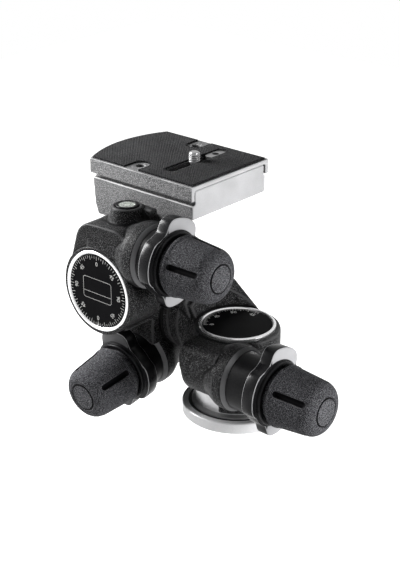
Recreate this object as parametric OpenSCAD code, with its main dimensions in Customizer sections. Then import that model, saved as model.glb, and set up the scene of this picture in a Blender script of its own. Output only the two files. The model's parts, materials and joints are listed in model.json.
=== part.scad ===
// Geared tripod head: three worm-driven axes (pan, lateral tilt, front tilt)
// under a quick-release camera plate. Millimetres, +Z up.
// The origin is the centre of the base disc's underside, on the pan axis.

/* [Base] */
// Radius of the base disc
base_r = 30; // [27:0.5:33]
// Thickness of the base disc
base_h = 6.3; // [5:0.1:8]
// Wall radius of the tripod thread in the base
base_thread_r = 4.76; // [4.5:0.01:5]
// Depth of the tripod thread
base_thread_depth = 12; // [10:0.5:13]

/* [Worm drives] */
// Distance from each wheel axis to its worm axis
worm_centre = 23.5; // [23:0.1:24.5]
// Outer radius of the worm thread
worm_r = 5.4; // [4.8:0.1:5.6]
// Teeth on each worm wheel
wheel_teeth = 48; // [36:4:60]
// Thickness of each worm wheel
wheel_t = 7; // [5:0.5:8]
// Radius of the round worm casing
case_r = 14.5; // [14:0.1:15]
// Radius of the casing's mouth
mouth_r = 18; // [17.5:0.1:18.5]
// Radius of the fixed sleeve between mouth and lever
sleeve_r = 16; // [15.5:0.1:16.5]

/* [Knobs and levers] */
// Skirt radius of the knobs
knob_r = 16.9; // [16:0.1:17.2]
// Length of the knobs
knob_l = 26.5; // [24:0.5:28]
// Lobe tip radius of the release levers
lever_tip_r = 24.4; // [23:0.1:24.6]
// Thickness of the release levers
lever_t = 7.2; // [6:0.1:8]
// Distance from the pan axis to the pan knob's skirt
pan_knob_s = 51.2; // [50.5:0.1:53]
// Distance from the front tilt axis to its knob's skirt
tilt_knob_s = 48; // [47.5:0.1:50]
// Distance from the lateral tilt axis to its knob's skirt
roll_knob_s = 50.5; // [50:0.1:52]

/* [Pan housing] */
// Radius of the pan housing
pan_r = 23.7; // [23.5:0.1:24.5]
// Height of the pan dial's face
pan_top_z = 52.4; // [51.5:0.1:54]
// Height of the pan worm's axis
pan_worm_z = 35; // [34.5:0.1:35.5]

/* [Lateral tilt] */
// Y of the lateral tilt axis
roll_y = 9; // [8.5:0.1:9.5]
// Height of the lateral tilt axis
roll_z = 46.5; // [46:0.1:47]
// X of the lateral tilt wheel's middle plane
roll_wheel_x = -55.9; // [-56.4:0.1:-55.4]
// Radius of the lateral tilt housing
roll_r = 23.5; // [23:0.1:24]
// Slope of the lateral tilt worm below level, in degrees
roll_slope = 8; // [6:0.5:10]
// X of the joint face between the arm and the main housing
seam_x = -37.4; // [-38:0.1:-37]
// X of the arm's front face
arm_x = -22; // [-22.5:0.1:-21.5]

/* [Front tilt] */
// X of the front tilt axis
tilt_x = -57.7; // [-58.2:0.1:-57.2]
// Height of the front tilt axis
tilt_z = 70.1; // [69.8:0.1:70.6]
// Y of the front tilt worm and of its wheel's middle plane
tilt_worm_y = -33.8; // [-34.2:0.1:-33.6]
// Y of the front tilt dial's face
tilt_dial_y = -48.8; // [-49.5:0.1:-48.6]
// Y of the front tilt housing's rear face
tilt_back_y = -21.4; // [-21.6:0.1:-21.2]
// Rim radius of the front tilt housing
tilt_rim_r = 24.4; // [24.2:0.1:25]

/* [Dials] */
// Outer radius of the pan dial's bezel ring
pan_bezel_r = 21.1; // [20.8:0.1:21.5]
// Outer radius of the two tilt dials' bezel rings
tilt_bezel_r = 22.9; // [22.5:0.1:23.2]
// Width of the bezel rings
bezel_w = 2.1; // [1.6:0.1:2.6]

/* [Quick-release plate] */
// Height of the plate's top face
plate_z = 130; // [129.5:0.1:131]
// X of the plate's straight end
plate_x1 = -18.5; // [-19:0.1:-18]
// X where the plate's curved end begins
plate_x0 = -93.7; // [-95:0.1:-93]
// How far the curved end bulges
plate_bulge = 8.4; // [6:0.1:9]
// Y of the plate's front edge
plate_y0 = -15.8; // [-16:0.1:-15.5]
// Width of the plate
plate_w = 64; // [62:0.5:66]
// Thickness of the plate's web
plate_web = 3.4; // [3:0.1:4]
// Height of the plate's side flanges
plate_flange = 9; // [8.5:0.1:9.4]
// Thickness of the plate's side flanges
plate_wall = 2.4; // [2:0.1:2.6]
// Radius of the camera screw's thread
screw_r = 3.175; // [3:0.005:3.2]
// How far the camera screw stands above the plate
screw_h = 5.2; // [4.5:0.1:8]

/* [Receiver] */
// Y of the receiver's front face
recv_y0 = -14.2; // [-14.4:0.1:-14]
// X of the receiver's straight end
recv_x1 = -19.3; // [-19.8:0.1:-19]
// Height of the receiver's underside
recv_z0 = 97; // [96:0.5:98]
// Radius of the hub on the front tilt shaft
hub_r = 15; // [14:0.1:15.4]

/* [Hidden] */
$fn = 96;
eps = 0.05;
gap = 0.3;            // clearance between bodies that turn on each other
run = 0.05;           // radial clearance of a shaft in its bearing
pan_shaft_r = 10;     // spindle journals
tilt_shaft_r = 8;
worm_shaft_r = 3;
cavity_r = worm_centre - 4.2;                    // wheel chamber radius
wheel_r = worm_centre - worm_r - 0.35;           // wheel tip radius
wheel_room = wheel_t / 2 + 0.8;                  // half width of the wheel chamber
tail_s = -9;                                     // far end of a worm casing
worm_half = 6;                                   // half length of a worm's thread
case_bore_r = 10.6;
mouth_bevel = 2.4;
spigot_s = 13;                                   // where a sleeve's spigot begins
pan_mouth_s = 22.5;
roll_mouth_s = 26.5;
tilt_mouth_s = 27.7;
lever_gap = 5.3;                                 // lever face to knob skirt
flange_r = 22.5;                                 // spindle flange
flange_top = 17.2;
pan_wheel_z = pan_worm_z;
dial_t = 1.2;
roll_back_x = -70;
tilt_body_r = 21.4;
slot_x = -45.7;
slot_w = 7;
slot_y0 = plate_y0 + 10.8;
slot_y1 = plate_y0 + plate_w - 6.2;
screw_y = 17;
notch_x = -63.7;
plate_y1 = plate_y0 + plate_w;
recv_y1 = plate_y1 - 1.8;
rail_z = plate_z - plate_web - gap;              // top of the receiver's rails
recv_z1 = plate_z - plate_flange - 1;            // shoulder under the flanges
flat_y = -21;                                    // flat side of the front tilt casing
lock_x = -60;
lock_z = 109.5;
jaw_x0 = -84;
jaw_x1 = -30;
catch_x = -72;
catch_y = 1.5;
neck_w = 12;

// ---- frames of the three worm drives: z runs out to the knob, y is up ----
module pan_drive() {
    translate([0, -worm_centre, pan_worm_z]) rotate([90, 0, 90]) children();
}
module tilt_drive() {
    translate([tilt_x, tilt_worm_y, tilt_z + worm_centre]) rotate([90, 0, 90]) children();
}
module roll_drive() {
    translate([roll_wheel_x, roll_y + sin(roll_slope) * worm_centre,
               roll_z - cos(roll_slope) * worm_centre])
        rotate([90 + roll_slope, 0, 0]) children();
}
// Frames of the two level wheel axes
module roll_axis() { translate([0, roll_y, roll_z]) rotate([0, 90, 0]) children(); }
module tilt_axis() { translate([tilt_x, 0, tilt_z]) rotate([90, 0, 0]) children(); }
// Cylinder along the front tilt axis from y0 to y1
module tilt_cyl(r, y0, y1) { translate([0, 0, -y1]) cylinder(r = r, h = y1 - y0); }
// Cylinder along z from z0 to z1
module cyl(r, z0, z1) { translate([0, 0, z0]) cylinder(r = r, h = z1 - z0); }
// Two circles and the straight flanks that join them
module belt(a, ra, b, rb) {
    phi = atan2(b[1] - a[1], b[0] - a[0]);
    turn = acos((ra - rb) / norm(b - a));
    n1 = [cos(phi + turn), sin(phi + turn)];
    n2 = [cos(phi - turn), sin(phi - turn)];
    translate(a) circle(r = ra);
    translate(b) circle(r = rb);
    polygon([a + ra * n1, a + ra * n2, b + rb * n2, b + rb * n1]);
}
module ring(r1, r0, z0, z1) {
    difference() { cyl(r1, z0, z1); cyl(r0, z0 - 1, z1 + 1); }
}
module box(a, b) { translate(a) cube([b[0] - a[0], b[1] - a[1], b[2] - a[2]]); }

// ---- parts that every worm drive has ----
// Outer form of a worm casing with its flared, bevelled mouth
module worm_case(mouth) {
    rotate_extrude() polygon([
        [0, tail_s], [case_r - 2, tail_s], [case_r, tail_s + 2],
        [case_r, mouth - 14], [mouth_r, mouth - 6], [mouth_r, mouth],
        [sleeve_r + 0.3, mouth + mouth_bevel], [0, mouth + mouth_bevel]
    ]);
}
// What is bored out of a casing: sleeve bore, worm chamber and tail bearing
module worm_bore(mouth) {
    cyl(case_bore_r, spigot_s - 0.4, mouth + mouth_bevel + 1);
    cyl(worm_r + 1.2, -worm_half - 0.5, spigot_s);
    cyl(worm_shaft_r + run, -worm_half - 2.5, 0);
}
// Fixed sleeve: spigot inside the casing and the round barrel behind the lever
module worm_sleeve(mouth, knob_s) {
    lever_back = knob_s - lever_gap - lever_t;
    difference() {
        union() {
            cyl(case_bore_r - 0.02, spigot_s, mouth + mouth_bevel);
            cyl(sleeve_r, mouth + mouth_bevel, lever_back - gap);
            cyl(9, lever_back - gap, knob_s - lever_gap - 1);
        }
        cyl(worm_shaft_r + run, 0, knob_s);
    }
}
// Worm: ringed thread on a shaft that reaches into the knob
module worm(knob_s) {
    pitch = 2.4;
    rings = floor(2 * worm_half / pitch);
    rotate_extrude() polygon(concat(
        [[0, -worm_half - 2.3], [worm_shaft_r, -worm_half - 2.3], [worm_shaft_r, -worm_half]],
        [for (i = [0 : rings - 1], p = [0, 0.3, 0.5, 0.8])
            [p == 0 || p == 0.8 ? worm_r - 1.5 : worm_r, -worm_half + (i + p) * pitch]],
        [[worm_r - 1.5, worm_half], [worm_shaft_r, worm_half],
         [worm_shaft_r, knob_s + 12], [0, knob_s + 12]]
    ));
}
knob_body_r = knob_r - 0.5;
knob_end_r = knob_r - 1.9;
knob_face_r = 8.4;
knob_dome_s = 19;
groove_r = 1.6;
groove_l = 17;
// Knob: skirt, tapered barrel, domed end, four round-ended grooves
module knob(knob_s) {
    dome = [for (i = [0 : 7]) let (a = 90 * i / 7)
        [knob_face_r + (knob_end_r - knob_face_r) * cos(a),
         knob_dome_s + (knob_l - knob_dome_s) * sin(a)]];
    translate([0, 0, knob_s]) difference() {
        rotate_extrude() polygon(concat(
            [[0, -lever_gap + 0.9], [14.4, -lever_gap + 0.9], [14.4, 0],
             [knob_r, 0], [knob_r, 1.6], [knob_body_r, 2.1]],
            dome,
            [[knob_face_r - 0.3, knob_l - 0.8], [0, knob_l - 0.8]]
        ));
        cyl(worm_shaft_r, -lever_gap, 12);
        for (a = [0 : 90 : 270]) rotate(a + 65) translate([knob_body_r - 0.9, 0, 4])
            rotate([0, -4.5, 0]) {
                cylinder(r = groove_r, h = groove_l);
                translate([0, -groove_r, 0]) cube([4, 2 * groove_r, groove_l]);
                rotate([0, 90, 0]) cylinder(r = groove_r, h = 4);
                translate([0, 0, groove_l]) rotate([0, 90, 0]) cylinder(r = groove_r, h = 4);
            }
    }
}
module knob_cap(knob_s) {
    color("dimgray") cyl(knob_face_r - 0.45, knob_s + knob_l - 0.8, knob_s + knob_l - 0.1);
}
lever_hub_r = 18.3;
shoulder_r = 20;
// Directions of the two corners of a thumb lobe, and their radii
lobe_from = 51;
lobe_to = 90;
lobe_from_r = 6;
lobe_to_r = 4.4;
lobe_mirror = 351;
module lobe(from, from_r, to, to_r) {
    rotate(from) translate([lever_tip_r - from_r - 0.1, 0]) circle(r = from_r);
    rotate(to) translate([lever_tip_r - to_r - 0.1, 0]) circle(r = to_r);
    intersection() {
        circle(r = lever_tip_r);
        polygon([[0, 0], 40 * [cos(from), sin(from)], 40 * [cos(to), sin(to)]]);
    }
}
// Outline of a release lever: two thumb lobes and a low shoulder between them
module lever_outline() {
    circle(r = lever_hub_r);
    lobe(lobe_from, lobe_from_r, lobe_to, lobe_to_r);
    lobe(lobe_mirror - lobe_to, lobe_to_r, 296, 5.5);
    intersection() {
        circle(r = shoulder_r);
        polygon([[0, 0], for (a = [134 : 10 : 204]) 30 * [cos(a), sin(a)]]);
    }
    rotate(134) translate([shoulder_r - 2.6, 0]) circle(r = 2.5);
}
// Release lever with its raised black collar; turn is its rest position
module release_lever(knob_s, turn) {
    front = knob_s - lever_gap;
    difference() {
        union() {
            translate([0, 0, front - lever_t]) rotate(turn)
                linear_extrude(lever_t) lever_outline();
            cyl(17.2, front - 0.6, front + 2.4);
        }
        cyl(9 + run, front - lever_t - 1, front);
        cyl(14.4 + gap, front - 1 + gap, front + 5);
    }
}
// Wheel: 48 straight teeth on a bored disc, standing on z = 0 centre plane
module worm_wheel(bore) {
    step = 360 / wheel_teeth;
    difference() {
        translate([0, 0, -wheel_t / 2]) linear_extrude(wheel_t) polygon([
            for (i = [0 : wheel_teeth - 1], p = [[0, -1.2], [0.35, -1.2], [0.5, 0], [0.85, 0]])
                (wheel_r + p[1]) * [cos((i + p[0]) * step), sin((i + p[0]) * step)]]);
        cyl(bore, -wheel_t, wheel_t);
    }
}
// Bezel ring with a bevelled inner edge, face at z = 0
module bezel(r) {
    rotate_extrude() polygon([[r - bezel_w, -2.6], [r, -2.6], [r, -0.4], [r - 0.4, 0],
                              [r - bezel_w + 0.7, 0], [r - bezel_w, -0.7]]);
}

// ================= base, fixed to the tripod =================
module base_disc() {
    color("gainsboro") difference() {
        union() {
            rotate_extrude() polygon([[0, 0.8], [base_r - 5, 0.8], [base_r - 5, 0],
                [base_r - 0.5, 0], [base_r, 0.5], [base_r, base_h - 0.5],
                [base_r - 0.5, base_h], [base_r - 3.4, base_h], [base_r - 3.4, base_h - 1.2],
                [0, base_h - 1.2]]);
            cyl(9, base_h - 2, base_thread_depth + 2);
        }
        cyl(base_thread_r, -1, base_thread_depth);
        for (a = [30 : 60 : 330]) rotate(a) translate([15, 0, 0]) {
            cyl(1.6, -1, base_h);
            cyl(2.9, -1, 3);
        }
    }
}
module pan_spindle() {
    color("silver") difference() {
        union() {
            rotate_extrude() polygon([[0, base_h - 1.2], [base_r - 5.4, base_h - 1.2], [base_r - 5.4, base_h + 0.6],
                [flange_r, base_h + 1.6], [flange_r, flange_top], [0, flange_top]]);
            cyl(pan_shaft_r, flange_top, pan_wheel_z - wheel_t / 2);
            cyl(pan_shaft_r - 1, flange_top, pan_top_z - dial_t - 0.4);
        }
        cyl(9.02, base_h - 2, base_thread_depth + 2.1);
        for (a = [30 : 60 : 330]) rotate(a) translate([15, 0, 0]) cyl(1.25, base_h - 2, 14);
    }
}
module pan_thrust_washer() {
    color("peru") ring(19.5, pan_shaft_r + 0.2, flange_top, flange_top + 1);
}
module pan_worm_wheel() {
    color("darkgoldenrod") translate([0, 0, pan_wheel_z]) rotate(1.9) worm_wheel(pan_shaft_r - 1);
}
module pan_retaining_nut() {
    color("silver") difference() {
        cyl(13, pan_wheel_z + wheel_t / 2, pan_wheel_z + wheel_t / 2 + 5);
        cyl(pan_shaft_r - 0.98, pan_wheel_z, pan_top_z);
        for (a = [0 : 90 : 270]) rotate(a)
            translate([11, -1.5, pan_wheel_z + wheel_t / 2 + 2]) cube([4, 3, 5]);
    }
}
module pan_dial() {
    color("black") cyl(pan_bezel_r - bezel_w - gap, pan_top_z - dial_t - 0.4, pan_top_z - 0.4);
}
module spindle_screws() {
    color("dimgray") for (a = [30 : 60 : 330]) rotate(a) translate([15, 0, 0]) difference() {
        union() { cyl(1.25, 1, 13); cyl(2.7, 1, 3); }
        translate([0, 0, 0]) cylinder(r = 1.4, h = 2, $fn = 6);
    }
}

// ================= pan casting =================
apron_from = -75;
apron_to = 95;
module apron() {
    difference() {
        rotate([0, 0, apron_from]) rotate_extrude(angle = apron_to - apron_from)
            translate([flange_r + gap, base_h + 2]) square([pan_r - flange_r - gap + 0.6, 12]);
    }
}
// Squared front of the pan worm's casing: flat face, rounded top edge, lower bevel
module pan_case_block() {
    translate([0, 0, tail_s]) linear_extrude(pan_mouth_s - 7 - tail_s) {
        translate([-case_r + 6, 9.6]) circle(r = 6);
        polygon([[-case_r, 2.5], [-case_r, 9.6], [-case_r + 6, 15.6], [20, 15.6], [20, -case_r + 1.5],
                 [-4, -case_r + 1.5], [-9.9, -7.6]]);
    }
}
arm_bevel = 2.6;
// Outline of the arm, looking along the lateral tilt axis (y to the right, z up)
module arm_outline(inset) {
    polygon([[-15 + inset, 62 - inset], [-8.5 + inset, 45], [-6, 34], [22, 34],
             [24.5 - inset, 44], [24.5 - inset, 64.5 - inset], [14, 69.8 - inset],
             [-5, 67.4 - inset]]);
}
module arm() {
    translate([seam_x, 0, 0]) rotate([90, 0, 90]) linear_extrude(arm_x - seam_x - arm_bevel)
        arm_outline(0);
    translate([seam_x, 0, 0]) rotate([90, 0, 90]) linear_extrude(arm_x - seam_x)
        arm_outline(arm_bevel);
    roll_axis() {
        cyl(roll_r + 0.5, seam_x, seam_x + 7);
        translate([0, 0, seam_x + 7])
            cylinder(r1 = roll_r + 0.5, r2 = roll_r - 6, h = arm_x - seam_x - 7);
    }
}
// Sloped web from the arm's shoulder down to the back of the pan housing
module arm_web() {
    difference() {
        translate([0, 24.5, 0]) rotate([90, 0, 0]) linear_extrude(39) polygon([
            [seam_x + 4, 30], [-2, 30], [-2, 48.5], [-3.5, 50.5], [arm_x, 64.5], [seam_x + 4, 64.5]]);
        cyl(pan_r, 48, 80);
        box([-60, -20, 20], [-18.5, -8, 80]);
        box([-18.6, -20, 20], [5, 13, 80]);
    }
}
module pan_housing() {
    color("dimgray") difference() {
        union() {
            rotate_extrude() polygon([[0, flange_top + 0.3], [pan_r, flange_top + 0.3],
                [pan_r, pan_top_z - 2.4], [pan_r - 1.4, pan_top_z - 1], [0, pan_top_z - 1]]);
            apron();
            pan_drive() worm_case(pan_mouth_s);
            pan_drive() pan_case_block();
            arm();
            arm_web();
        }
        cyl(pan_bezel_r + 0.02, pan_top_z - 2.6, pan_top_z + 1);
        cyl(pan_bezel_r - bezel_w - 0.05, pan_top_z - 3.4, pan_top_z);
        cyl(pan_shaft_r + run, 10, pan_top_z);
        cyl(min(cavity_r, pan_bezel_r - bezel_w - 0.5), pan_wheel_z, pan_top_z);
        cyl(cavity_r, pan_wheel_z - wheel_room, pan_wheel_z + wheel_room);
        cyl(20, flange_top, flange_top + 1 + gap);
        pan_drive() worm_bore(pan_mouth_s);
        roll_axis() cyl(tilt_shaft_r, seam_x - 1, seam_x + 10);
    }
}
module pan_bezel() { color("silver") translate([0, 0, pan_top_z]) bezel(pan_bezel_r); }
module pan_worm_sleeve() { color("dimgray") pan_drive() worm_sleeve(pan_mouth_s, pan_knob_s); }
module roll_spindle() {
    color("silver") roll_axis() {
        cyl(tilt_shaft_r, roll_back_x - 2.4, seam_x + 10);
    }
}
module roll_worm_wheel() {
    color("darkgoldenrod") roll_axis() translate([0, 0, roll_wheel_x]) rotate(1.9)
        worm_wheel(tilt_shaft_r);
}
module roll_dial() {
    color("black") roll_axis()
        cyl(tilt_bezel_r - bezel_w - gap, roll_back_x - 2.4 - dial_t, roll_back_x - 2.4);
}
module pan_worm() { color("silver") pan_drive() worm(pan_knob_s); }
module pan_knob() { color("dimgray") pan_drive() rotate(-5) knob(pan_knob_s); }
module pan_knob_cap() { pan_drive() knob_cap(pan_knob_s); }
module pan_release_lever() { color("silver") pan_drive() release_lever(pan_knob_s, 0); }

// ================= main housing =================
front_y = -48;
boss_x = -52.5;
boss_y = -29.4;
boss_top_z = 115.8;
shoulder_r2 = 12.5;
shoulder_x = -62.4;
shoulder_z = 94.6;
module level_boss() {
    difference() {
        union() {
            translate([boss_x, boss_y, 100]) cylinder(r1 = 12.5, r2 = 8.2, h = boss_top_z - 100);
            box([boss_x, -33, 98], [-37, flat_y, 109.5]);
            box([boss_x - 1, -26, 98], [-38, flat_y, boss_top_z - 1]);
        }
        box([-80, flat_y, 90], [-20, 0, 130]);
    }
}
module main_housing() {
    web_top = tilt_z - hub_r - 1;
    color("dimgray") difference() {
        union() {
            tilt_axis() tilt_cyl(tilt_rim_r, front_y, -45);
            tilt_axis() tilt_cyl(tilt_body_r, -46, tilt_back_y);
            difference() {
                tilt_drive() worm_case(tilt_mouth_s);
                box([-80, flat_y, 60], [0, 0, 130]);
            }
            translate([0, tilt_back_y, 0]) rotate([90, 0, 0]) linear_extrude(tilt_back_y + 47.2) {
                belt([tilt_x, tilt_z], tilt_rim_r - 0.4, [shoulder_x, shoulder_z], shoulder_r2);
                belt([shoulder_x, shoulder_z], shoulder_r2, [-47, tilt_z + worm_centre], case_r - 0.5);
                polygon([[shoulder_x, shoulder_z], [-47, tilt_z + worm_centre], [-41, 88],
                         [-43, 80], [tilt_x + 18, 68], [tilt_x, tilt_z]]);
            }
            level_boss();
            roll_axis() cyl(roll_r, roll_back_x + 5, seam_x - gap);
            roll_drive() worm_case(roll_mouth_s);
            box([roll_back_x + 5, -21, 32], [-43, 4, web_top]);
            box([-73, -42, 48], [-43, -20, web_top]);
        }
        // front tilt: dial pocket, wheel chamber, shaft bearing
        tilt_axis() {
            tilt_cyl(tilt_bezel_r + 0.02, front_y - 2, tilt_dial_y + 2.6);
            tilt_cyl(cavity_r, tilt_dial_y, tilt_worm_y + wheel_room);
            tilt_cyl(tilt_shaft_r + run, -40, 0);
        }
        tilt_drive() worm_bore(tilt_mouth_s);
        // lateral tilt: wheel chamber open to the rear cover, shaft bearing
        roll_axis() {
            cyl(roll_r + gap, roll_back_x - 12, roll_back_x + 5);
            cyl(cavity_r, roll_back_x, roll_wheel_x + wheel_room);
            cyl(tilt_shaft_r + run, roll_back_x, seam_x + 1);
            for (a = [0 : 60 : 300]) rotate(a) translate([21.4, 0, roll_back_x + 5]) cyl(1, -1, 2.2);
        }
        roll_drive() worm_bore(roll_mouth_s);
        roll_drive() cyl(sleeve_r + gap, roll_mouth_s + mouth_bevel, roll_knob_s);
        translate([boss_x, boss_y, 0]) cyl(6.3, boss_top_z - 5, boss_top_z + 1);
    }
}
module tilt_bezel() { color("silver") tilt_axis() translate([0, 0, -tilt_dial_y]) bezel(tilt_bezel_r); }
module roll_rear_cover() {
    color("dimgray") roll_axis() difference() {
        union() {
            cyl(roll_r, roll_back_x - 2.2, roll_back_x + 5);
            cyl(cavity_r - 0.1, roll_back_x - 2, roll_back_x + 7.5);
        }
        cyl(tilt_shaft_r + run, roll_back_x - 10, roll_back_x + 10);
        cyl(tilt_bezel_r + 0.02, roll_back_x - 3, roll_back_x - 1);
        for (a = [0 : 60 : 300]) rotate(a) translate([21.4, 0, roll_back_x]) cyl(1, -1, 6);
    }
}
module roll_bezel() {
    color("silver") roll_axis() mirror([0, 0, 1]) translate([0, 0, -roll_back_x + 3.6]) bezel(tilt_bezel_r);
}
module cover_screws() {
    color("dimgray") roll_axis() for (a = [0 : 60 : 300]) rotate(a)
        translate([21.4, 0, roll_back_x]) cyl(1, -1, 7);
}
module level_vial() {
    color("palegreen") translate([boss_x, boss_y, 0]) {
        cyl(6.28, boss_top_z - 5, boss_top_z);
        cyl(5.2, boss_top_z, boss_top_z + 0.6);
    }
}
module roll_worm_sleeve() { color("dimgray") roll_drive() worm_sleeve(roll_mouth_s, roll_knob_s); }
module tilt_worm_sleeve() {
    color("dimgray") difference() {
        tilt_drive() worm_sleeve(tilt_mouth_s, tilt_knob_s);
        box([-80, flat_y, 60], [0, 0, 130]);
    }
}
module roll_worm() { color("silver") roll_drive() worm(roll_knob_s); }
module roll_knob() { color("dimgray") roll_drive() rotate(-33) knob(roll_knob_s); }
module roll_knob_cap() { roll_drive() knob_cap(roll_knob_s); }
module roll_release_lever() { color("silver") roll_drive() release_lever(roll_knob_s, 180); }
module tilt_worm() { color("silver") tilt_drive() worm(tilt_knob_s); }
module tilt_knob() { color("dimgray") tilt_drive() rotate(6) knob(tilt_knob_s); }
module tilt_knob_cap() { tilt_drive() knob_cap(tilt_knob_s); }
module tilt_release_lever() { color("silver") tilt_drive() release_lever(tilt_knob_s, 0); }

// ================= receiver, on the front tilt shaft =================
module tilt_shaft() {
    color("silver") tilt_axis() tilt_cyl(tilt_shaft_r, tilt_dial_y + dial_t + 0.4, recv_y0 + 0.2);
}
module tilt_worm_wheel() {
    color("darkgoldenrod") tilt_axis() translate([0, 0, -tilt_worm_y]) rotate(1.9)
        worm_wheel(tilt_shaft_r);
}
module tilt_dial() {
    color("black") tilt_axis()
        tilt_cyl(tilt_bezel_r - bezel_w - gap, tilt_dial_y + 0.4, tilt_dial_y + 0.4 + dial_t);
}
hub_y0 = flat_y + 0.4;
module receiver_bracket() {
    color("dimgray") difference() {
        union() {
            tilt_axis() tilt_cyl(hub_r, hub_y0, recv_y0);
            box([tilt_x - neck_w, hub_y0, tilt_z], [tilt_x + neck_w, recv_y0, recv_z0 + 12]);
            box([tilt_x - neck_w, recv_y0 - 1, recv_z0 - 6], [tilt_x + neck_w, 8, recv_z0]);
        }
        tilt_axis() tilt_cyl(tilt_shaft_r + 0.02, -40, 0);
        for (x = [-8, 8]) translate([tilt_x + x, recv_y0, recv_z0 + 6]) rotate([90, 0, 0]) {
            translate([0, 0, -1]) cylinder(r = 2.1, h = 30);
            translate([0, 0, 3]) cylinder(r = 3.6, h = 10);
        }
    }
}
module recv_side() {
    polygon([[-92.2, recv_z0 + 6], [-90, recv_z0], [-44, recv_z0], [-38, recv_z0 + 6.5],
             [recv_x1, recv_z0 + 13.6], [recv_x1, recv_z1], [-93.6, recv_z1]]);
}
module receiver() {
    color("lightgray") difference() {
        union() {
            translate([0, recv_y1, 0]) rotate([90, 0, 0])
                linear_extrude(recv_y1 - recv_y0) recv_side();
            box([-93.6, plate_y0 + plate_wall + 1.2, recv_z1 - 1],
                [recv_x1, recv_y0 + 6, rail_z]);
            box([-93.6, recv_y1 - 17.4, recv_z1 - 1], [recv_x1, recv_y1 - 13.4, rail_z]);
            box([-93.6, 14, recv_z1 - 1], [-86, recv_y1 - 2.4, rail_z]);
            box([-26, plate_y0 + plate_wall + 1.2, recv_z1 - 1],
                [recv_x1, plate_y1 - plate_wall - 0.4, rail_z]);
        }
        box([jaw_x0 - gap, recv_y1 - 13.1, recv_z1 - 6], [jaw_x1 + gap, recv_y1 + 4, recv_z1 + 1]);
        box([-120, recv_y0 - 1, recv_z1 - 1.8], [recv_x1 + 1, recv_y0 + 2.4, recv_z1 + 0.6]);
        translate([lock_x, recv_y1 - 16.4, lock_z]) rotate([-90, 0, 0]) cylinder(r = 3 + run, h = 20);
        translate([catch_x, catch_y, recv_z1 - 14]) cylinder(r = 2.5 + run, h = 20);
        for (x = [-8, 8]) translate([tilt_x + x, recv_y0 + 7, recv_z0 + 6]) rotate([90, 0, 0])
            cylinder(r = 1.7, h = 10);
    }
}
module bracket_screws() {
    color("dimgray") for (x = [-8, 8]) translate([tilt_x + x, recv_y0, recv_z0 + 6])
        rotate([90, 0, 0]) difference() {
            union() {
                translate([0, 0, -6]) cylinder(r = 1.68, h = 9.1);
                translate([0, 0, 3]) cylinder(r = 3.4, h = 3);
            }
            translate([0, 0, 4.4]) cylinder(r = 1.7, h = 4, $fn = 6);
        }
}
module clamp_jaw() {
    color("dimgray") box([jaw_x0, recv_y1 - 9.8, recv_z1 - 5.7], [jaw_x1, plate_y1 - plate_wall - gap, rail_z]);
}
// Handle and shaft of the plate lock
module lock_lever() {
    y = recv_y1 + gap;
    color("dimgray") {
        translate([lock_x, y - 15.7, lock_z]) rotate([-90, 0, 0]) cylinder(r = 3, h = 16.7);
        translate([lock_x, y, lock_z]) rotate([-90, 0, 0]) cylinder(r = 7, h = 6);
        translate([lock_x, y + 6, lock_z]) rotate([90, 0, 0]) linear_extrude(6)
            belt([0, 0], 6, [27, 0], 4);
    }
}
module safety_catch() {
    color("gold") translate([catch_x, catch_y, 0]) cyl(2.5, recv_z1 - 9, rail_z);
}

// ================= quick-release plate =================
bulge_r = (pow(plate_w / 2, 2) + pow(plate_bulge, 2)) / (2 * plate_bulge);
// Plan of the plate, drawn in by an inset all round
module plate_plan(inset) {
    mid = (plate_y0 + plate_y1) / 2;
    intersection() {
        translate([plate_x0 - 20, plate_y0 + inset])
            square([plate_x1 - plate_x0 + 20 - inset, plate_w - 2 * inset]);
        translate([plate_x0 - plate_bulge + bulge_r, mid]) circle(r = bulge_r - inset, $fn = 180);
    }
}
module slot_plan(w, y0, y1) {
    for (y = [y0 + w / 2, y1 - w / 2]) translate([slot_x, y]) circle(r = w / 2);
    translate([slot_x - w / 2, y0 + w / 2]) square([w, y1 - y0 - w]);
}
module camera_plate() {
    color("lightgray") difference() {
        translate([0, 0, plate_z - plate_flange]) linear_extrude(plate_flange - 0.8) plate_plan(0);
        translate([-100, plate_y0 + plate_wall, plate_z - plate_flange - 1])
            cube([120, plate_w - 2 * plate_wall, plate_flange - plate_web + 1]);
        translate([0, 0, plate_z - plate_web - 1]) linear_extrude(6)
            slot_plan(slot_w, slot_y0, slot_y1);
        for (y = [plate_y0 + 9, plate_y1 - 9])
            translate([notch_x, y, plate_z - plate_web - 1]) cylinder(r = 2.4, h = 8);
    }
}
module plate_pad() {
    color("darkslategray") difference() {
        translate([0, 0, plate_z - 0.8]) linear_extrude(0.8) plate_plan(1.6);
        translate([0, 0, plate_z - 2]) linear_extrude(4) slot_plan(slot_w, slot_y0, slot_y1);
        for (y = [plate_y0, plate_y1])
            translate([notch_x, y > 0 ? y - 9 : y + 9, plate_z - 2]) {
                cylinder(r = 5.2, h = 4);
                translate([-5.2, y > 0 ? 0 : -12, 0]) cube([10.4, 12, 4]);
            }
    }
}
module slot_fitting() {
    color("silver") difference() {
        translate([0, 0, plate_z - 2.6]) linear_extrude(2) slot_plan(slot_w - 0.1, slot_y1 - 14, slot_y1);
        translate([slot_x, slot_y1 - 7, plate_z - 4]) cylinder(r = 2, h = 5);
    }
}
module screw_washer() {
    color("dimgray") translate([slot_x, screw_y, 0])
        ring(6.4, screw_r + run, plate_z - plate_web - 1.2, plate_z - plate_web - 0.2);
}
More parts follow.
